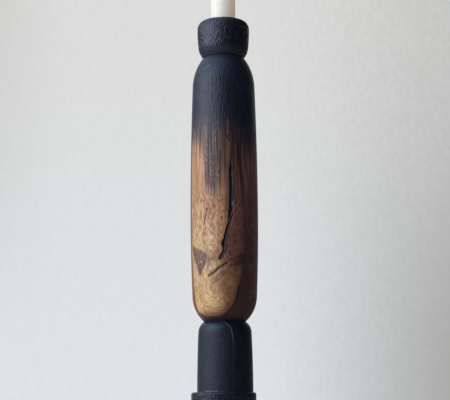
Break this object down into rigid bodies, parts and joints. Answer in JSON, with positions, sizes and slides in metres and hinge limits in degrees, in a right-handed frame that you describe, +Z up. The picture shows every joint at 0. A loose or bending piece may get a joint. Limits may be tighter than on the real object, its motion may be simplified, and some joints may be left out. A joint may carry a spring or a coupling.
{
  "type": "candlestick",
  "caption": "Tall turned wooden candlestick: domed foot, collar, column, barrel body with V-groove necks and a drying check, charred cup with a brass-lined socket and a lift-out dinner candle.",
  "frame": {"origin": "centre of the felt pad's underside, on the turning axis", "axes": "+Z up along the turning axis, -Y towards the front with the drying check, +X to the right seen from the front"},
  "size_m": [0.12, 0.12, 0.6165],
  "materials": {
    "felt": "black wool felt",
    "charred_wood": "charred, brushed and oiled, rough",
    "blackened_wood": "scorched black, sanded and oiled, satin",
    "scorched_wood": "pale wood scorched from one end, oiled, satin",
    "dowel_wood": "plain beech, unfinished",
    "brass": "spun brass, unlacquered",
    "steel": "zinc-plated steel",
    "wax": "paraffin wax, warm white, matt",
    "wick": "braided cotton, waxed"
  },
  "bodies": {
    "stick": {"felt_pad": "felt", "foot": "charred_wood", "collar": "charred_wood", "column": "blackened_wood", "base_washer": "steel", "base_screw": "steel", "low_dowel": "dowel_wood", "body": "scorched_wood", "top_dowel": "dowel_wood", "cup": "charred_wood", "socket_liner": "brass", "liner_screw": "brass"},
    "candle": {"candle": "wax", "candle_wick": "wick"}
  },
  "joints": [
    {"name": "candle_lift", "type": "slide", "parent": "stick", "child": "candle", "axis": [0, 0, 1], "range_m": [0, 0.04]}
  ]
}
